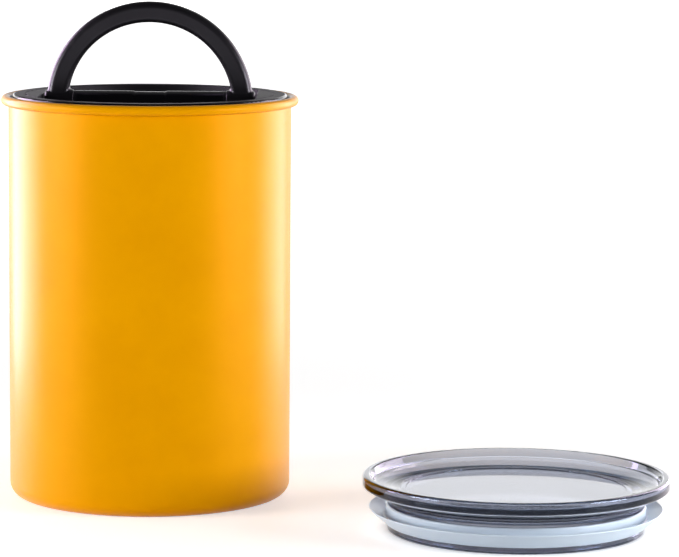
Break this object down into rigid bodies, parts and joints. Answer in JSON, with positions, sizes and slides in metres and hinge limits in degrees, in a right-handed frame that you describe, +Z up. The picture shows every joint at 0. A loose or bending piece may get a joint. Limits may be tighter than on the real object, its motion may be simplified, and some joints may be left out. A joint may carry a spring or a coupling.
{
  "type": "coffee canister",
  "caption": "Cylindrical steel storage can with a sliding inner lid, whose folding handle works an air valve through a cam, and a clear dished outer lid with a lip gasket.",
  "frame": {"origin": "centre of the can's base, in the plane of its standing ring", "axes": "+Z up along the can's axis, +X along the handle's pivot towards the side where the outer lid lies, +Y to the back"},
  "size_m": [0.2814, 0.1996, 0.2122],
  "materials": {
    "yellow_coat": "satin",
    "black_plastic": "satin",
    "silicone": "satin",
    "smoke_plastic": "gloss",
    "steel": "satin"
  },
  "bodies": {
    "canister": {"canister_body": "yellow_coat"},
    "plunger": {"plunger_cup": "black_plastic", "plunger_base": "black_plastic", "wiper_seal": "silicone", "hinge_cap_left": "black_plastic", "hinge_cap_right": "black_plastic", "base_screws": "steel", "valve_spring": "steel"},
    "handle": {"handle": "black_plastic"},
    "valve": {"valve_cap": "black_plastic", "valve_stem": "black_plastic", "valve_poppet": "black_plastic", "valve_seal": "silicone", "valve_clip": "steel"},
    "outer_lid": {"lid_shell": "smoke_plastic", "lid_gasket": "silicone"}
  },
  "joints": [
    {"name": "plunger_slide", "type": "slide", "parent": "canister", "child": "plunger", "axis": [0, 0, 1], "range_m": [-0.134, 0.06]},
    {"name": "handle_fold", "type": "hinge", "parent": "plunger", "child": "handle", "pos_m": [0, 0, 0.1682], "axis": [-1, 0, 0], "range_deg": [0, 90]},
    {"name": "valve_slide", "type": "slide", "parent": "plunger", "child": "valve", "axis": [0, 0, -1], "range_m": [0, 0.00241], "deforming": ["valve_spring"]},
    {"name": "lid_lift", "type": "slide", "parent": "canister", "child": "outer_lid", "axis": [0, 0, 1], "range_m": [0, 0.19]}
  ],
  "couplings": [
    {"joint": "valve_slide", "follows": "handle_fold", "m_per_rad": 0.0015278}
  ]
}
